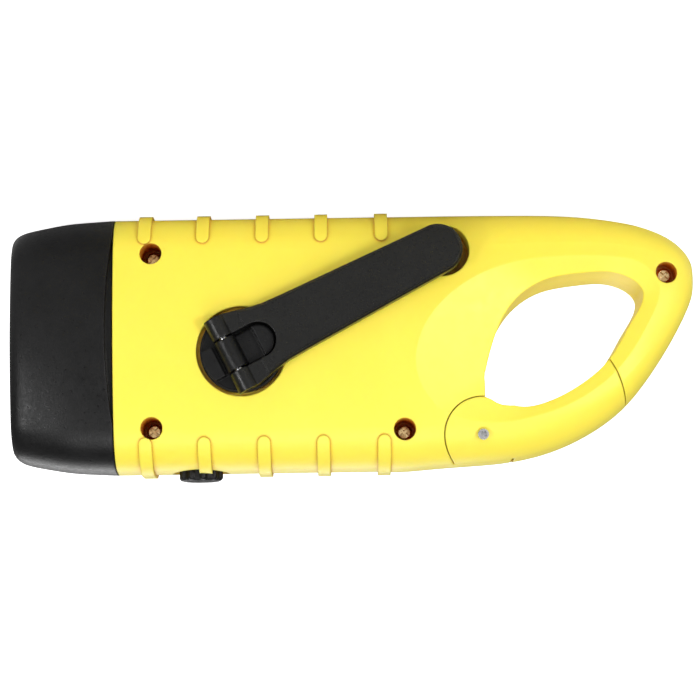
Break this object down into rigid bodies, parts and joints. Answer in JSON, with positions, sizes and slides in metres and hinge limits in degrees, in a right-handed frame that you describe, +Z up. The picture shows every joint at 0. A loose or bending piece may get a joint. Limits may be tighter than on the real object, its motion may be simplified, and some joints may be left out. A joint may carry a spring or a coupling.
{
  "type": "hand crank flashlight",
  "caption": "Flat torch with a folding hand crank, geared generator, rotary switch and a sprung carabiner loop as its handle.",
  "frame": {"origin": "on the ground under the middle of the torch, which stands on the ribs of its straight edge", "axes": "+X the way the light shines, +Z up with the switch on top, the crank on the -Y side"},
  "size_m": [0.198, 0.049, 0.0774],
  "materials": {
    "yellow_plastic": "smooth moulded",
    "black_plastic": "fine grain, slight sheen",
    "dark_plastic": "satin moulded",
    "clear_plastic": "clear",
    "plated_plastic": "vacuum plated",
    "rubber": "soft",
    "board": "circuit board",
    "led": "LED lens",
    "steel": "bright zinc",
    "brass_screw": "yellow passivated",
    "brass": "machined",
    "nylon": "natural nylon",
    "copper": "enamelled winding",
    "magnet": "sintered",
    "cell_wrap": "shrink sleeve"
  },
  "bodies": {
    "housing": {"shell_crank_side": "yellow_plastic", "shell_far_side": "yellow_plastic", "body_screws": "brass_screw", "bezel_ring": "black_plastic", "lens": "clear_plastic", "lens_gasket": "rubber", "reflector": "plated_plastic", "led_board": "board", "leds": "led", "switch_body": "dark_plastic", "control_board": "board", "board_parts": "dark_plastic", "board_screws": "steel", "battery_cells": "cell_wrap", "gear_axles": "steel", "gear_plate": "steel", "plate_screws": "steel", "generator_can": "steel", "stator_coil": "copper", "gate_spring": "steel"},
    "crank": {"crank_hub": "black_plastic", "clutch_cam": "steel", "hub_washer": "steel", "hub_screw": "steel", "clutch_rollers": "steel"},
    "arm": {"crank_arm": "dark_plastic", "arm_hinge_pin": "steel", "knob_screw": "steel"},
    "knob": {"crank_knob": "dark_plastic"},
    "first_gear": {"drive_gear": "nylon"},
    "idler_a": {"idler_gear_a": "nylon"},
    "idler_b": {"idler_gear_b": "nylon"},
    "rotor": {"rotor_shaft": "steel", "rotor_magnet": "magnet", "rotor_pinion": "brass"},
    "switch": {"switch_knob": "black_plastic"},
    "gate": {"carabiner_gate": "yellow_plastic", "gate_pivot_screw": "steel"}
  },
  "joints": [
    {"name": "crank_spin", "type": "hinge", "parent": "housing", "child": "crank", "pos_m": [0.0324, -0.01463, 0.04175], "axis": [0, -1, 0], "range_deg": [-1.2, 1.2]},
    {"name": "arm_fold", "type": "hinge", "parent": "crank", "child": "arm", "pos_m": [0.035, -0.02127, 0.04304], "axis": [-0.4446, 0, 0.8957], "range_deg": [0, 180]},
    {"name": "knob_spin", "type": "hinge", "parent": "arm", "child": "knob", "pos_m": [-0.02448, -0.01202, 0.01352], "axis": [0, -1, 0], "continuous": true},
    {"name": "gear_train", "type": "hinge", "parent": "housing", "child": "first_gear", "pos_m": [0.0324, -0.00953, 0.04175], "axis": [0, -1, 0], "continuous": true},
    {"name": "idler_a_spin", "type": "hinge", "parent": "housing", "child": "idler_a", "pos_m": [0.0104, -0.00702, 0.0303], "axis": [0, -1, 0], "continuous": true},
    {"name": "idler_b_spin", "type": "hinge", "parent": "housing", "child": "idler_b", "pos_m": [0.00329, -0.00402, 0.04984], "axis": [0, -1, 0], "continuous": true},
    {"name": "rotor_spin", "type": "hinge", "parent": "housing", "child": "rotor", "pos_m": [-0.01626, 0.00298, 0.04273], "axis": [0, -1, 0], "continuous": true},
    {"name": "switch_turn", "type": "hinge", "parent": "housing", "child": "switch", "pos_m": [0.0452, 0.00298, 0.074], "axis": [0, 0, 1], "range_deg": [0, 60]},
    {"name": "gate_swing", "type": "hinge", "parent": "housing", "child": "gate", "pos_m": [-0.0364, 0.00298, 0.0663], "axis": [0, -1, 0], "range_deg": [0, 24], "stiffness_Nm_per_rad": 0.06, "springref_deg": -20.05}
  ],
  "couplings": [
    {"joint": "idler_b_spin", "follows": "rotor_spin", "ratio": -0.3},
    {"joint": "idler_a_spin", "follows": "rotor_spin", "ratio": 0.09},
    {"joint": "gear_train", "follows": "rotor_spin", "ratio": -0.0216}
  ]
}
